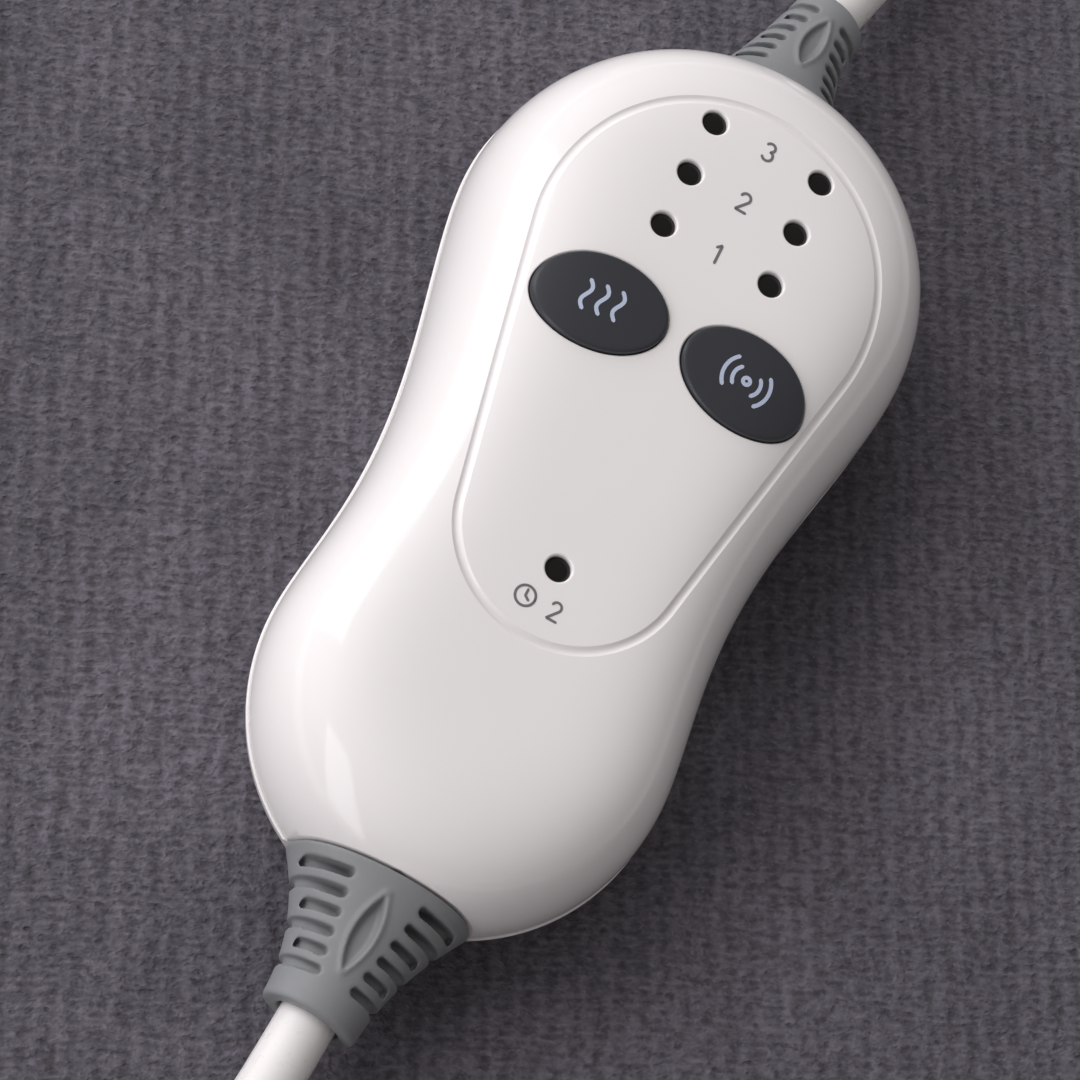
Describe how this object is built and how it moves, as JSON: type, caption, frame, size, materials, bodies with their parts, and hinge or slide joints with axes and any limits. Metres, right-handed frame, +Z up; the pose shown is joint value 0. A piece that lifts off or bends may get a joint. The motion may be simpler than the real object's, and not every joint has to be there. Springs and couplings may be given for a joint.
{
  "type": "heating pad with controller",
  "caption": "Plush heating and massage pad with a hand controller on a cord: two push buttons, level lamps, slotted strain reliefs and a mains cord with plug.",
  "frame": {"origin": "on the floor under the middle of the pad", "axes": "+Y along the pad towards the edge that takes the cord, +X across the pad, +Z up out of the pad's top face, where the controller lies"},
  "size_m": [0.305, 0.6936, 0.0536],
  "materials": {
    "plush": "short-pile grey plush",
    "padding": "soft padding cloth",
    "carrier_felt": "thin felt",
    "wire_insulation": "smooth insulation",
    "lead_insulation": "smooth insulation",
    "component_black": "matte black moulded case",
    "pod_plastic": "matte grey moulding",
    "motor_case": "plain rolled steel",
    "weight_metal": "turned metal",
    "terminal_plastic": "matte white moulding",
    "relief_rubber": "matte soft grey moulding",
    "housing_plastic": "glossy warm white moulding",
    "button_plastic": "satin charcoal moulding",
    "lamp_lens": "dark clear lens, unlit",
    "board_laminate": "green lacquered laminate",
    "sink_metal": "plain extruded metal",
    "plated_metal": "plated metal",
    "cord_sheath": "glossy white flexible sheath"
  },
  "bodies": {
    "base": {"pad_cover_top": "plush", "pad_cover_bottom": "plush", "fill_panel": "padding", "heater_carrier": "carrier_felt", "heating_wire": "wire_insulation", "overheat_cutout_1": "component_black", "overheat_cutout_2": "component_black", "pod_base_1": "pod_plastic", "pod_lid_1": "pod_plastic", "pod_base_2": "pod_plastic", "pod_lid_2": "pod_plastic", "massage_motor_1": "motor_case", "massage_motor_2": "motor_case", "motor_leads": "lead_insulation", "pad_terminal": "terminal_plastic", "pad_cord_inlet": "relief_rubber", "housing_top": "housing_plastic", "housing_bottom": "housing_plastic", "heat_switch": "component_black", "massage_switch": "component_black", "heat_lamp_1": "lamp_lens", "heat_lamp_2": "lamp_lens", "heat_lamp_3": "lamp_lens", "massage_lamp_1": "lamp_lens", "massage_lamp_2": "lamp_lens", "massage_lamp_3": "lamp_lens", "auto_off_lamp": "lamp_lens", "circuit_board": "board_laminate", "transformer": "component_black", "smoothing_capacitor": "component_black", "microcontroller": "component_black", "triac": "component_black", "fuse": "plated_metal", "mains_terminal": "terminal_plastic", "output_terminal": "terminal_plastic", "heat_sink": "sink_metal", "housing_screw_1": "plated_metal", "housing_screw_2": "plated_metal", "housing_screw_3": "plated_metal", "housing_screw_4": "plated_metal", "mains_leads": "lead_insulation", "output_leads": "lead_insulation", "mains_strain_relief": "relief_rubber", "pad_strain_relief": "relief_rubber", "mains_cord_near": "cord_sheath", "mains_cord_coil": "cord_sheath", "mains_cord_far": "cord_sheath", "plug_body": "cord_sheath", "plug_blade_1": "plated_metal", "plug_blade_2": "plated_metal", "pad_cord_near": "cord_sheath", "pad_cord_coil": "cord_sheath", "pad_cord_far": "cord_sheath"},
    "heat_key": {"heat_button": "button_plastic", "heat_plunger": "terminal_plastic"},
    "massage_key": {"massage_button": "button_plastic", "massage_plunger": "terminal_plastic"},
    "eccentric_1": {"eccentric_weight_1": "weight_metal"},
    "eccentric_2": {"eccentric_weight_2": "weight_metal"}
  },
  "joints": [
    {"name": "heat_press", "type": "slide", "parent": "base", "child": "heat_key", "axis": [0, 0, -1], "range_m": [0, 0.0005], "stiffness_N_per_m": 2500},
    {"name": "massage_press", "type": "slide", "parent": "base", "child": "massage_key", "axis": [0, 0, -1], "range_m": [0, 0.0005], "stiffness_N_per_m": 2500},
    {"name": "weight_spin_1", "type": "hinge", "parent": "base", "child": "eccentric_1", "pos_m": [0, -0.15, 0.0104], "axis": [1, 0, 0], "continuous": true},
    {"name": "weight_spin_2", "type": "hinge", "parent": "base", "child": "eccentric_2", "pos_m": [0, 0.15, 0.0104], "axis": [1, 0, 0], "continuous": true}
  ]
}
